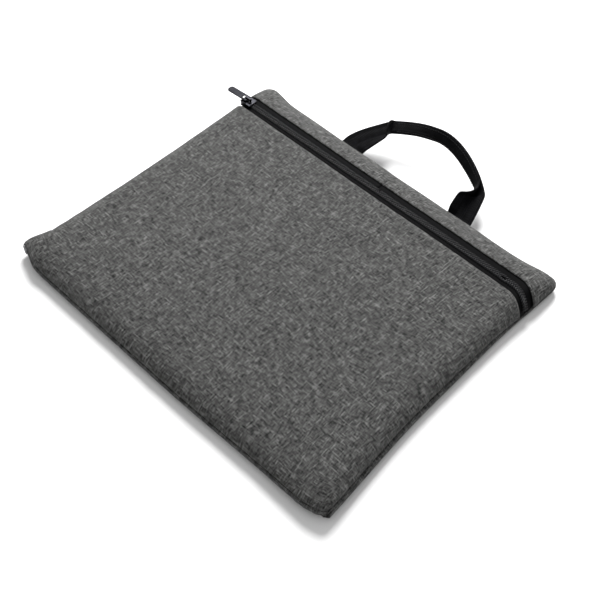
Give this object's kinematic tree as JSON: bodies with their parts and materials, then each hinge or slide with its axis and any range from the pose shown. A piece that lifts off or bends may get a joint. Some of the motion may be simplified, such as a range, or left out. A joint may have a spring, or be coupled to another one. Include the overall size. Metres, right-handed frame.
{
  "type": "laptop sleeve",
  "caption": "Padded fabric sleeve for a laptop, with a zipped mouth near its top edge and a webbing carry handle sewn into the top seam.",
  "frame": {"origin": "centre of the flat back face, which the sleeve lies on", "axes": "+X along the zip from its closed end to its open end, +Y from the bottom seam to the handle, +Z out of the front face"},
  "size_m": [0.358, 0.3459, 0.0347],
  "materials": {
    "cloth": "melange weave",
    "foam": "soft closed-cell foam",
    "lining": "brushed",
    "tape": "woven tape",
    "coil": "nylon coil",
    "thread": "sewing thread",
    "binding": "binding tape",
    "webbing": "ribbed webbing",
    "metal": "dark plated zinc"
  },
  "bodies": {
    "sleeve": {"back_panel": "cloth", "back_foam": "foam", "back_lining": "lining", "front_panel": "cloth", "front_foam": "foam", "front_lining": "lining", "zip_tape_lower": "tape", "zip_coil_lower": "coil", "zip_stitching_lower": "thread", "side_binding_left": "binding", "side_binding_right": "binding", "bottom_binding": "binding", "top_binding": "binding", "handle_end_left": "webbing", "handle_end_right": "webbing"},
    "flap": {"top_band": "cloth", "band_foam": "foam", "band_lining": "lining", "zip_tape_upper": "tape", "zip_coil_upper": "coil", "zip_stitching_upper": "thread"},
    "slider": {"slider_body": "metal", "slider_crown": "metal"},
    "puller": {"pull_tab": "metal"},
    "handle": {"handle_strap": "webbing", "grip_stitching": "thread"}
  },
  "joints": [
    {"name": "flap_hinge", "type": "hinge", "parent": "sleeve", "child": "flap", "pos_m": [0, 0.144, 0.009], "axis": [-1, 0, 0], "range_deg": [0, 35]},
    {"name": "slider_travel", "type": "slide", "parent": "sleeve", "child": "slider", "axis": [1, 0, 0], "range_m": [0, 0.302]},
    {"name": "puller_hinge", "type": "hinge", "parent": "slider", "child": "puller", "pos_m": [-0.162, 0.11, 0.0251], "axis": [0, 1, 0], "range_deg": [0, 180]},
    {"name": "handle_swing", "type": "hinge", "parent": "sleeve", "child": "handle", "pos_m": [0, 0.147, 0.009], "axis": [1, 0, 0], "range_deg": [-120, 85]}
  ]
}
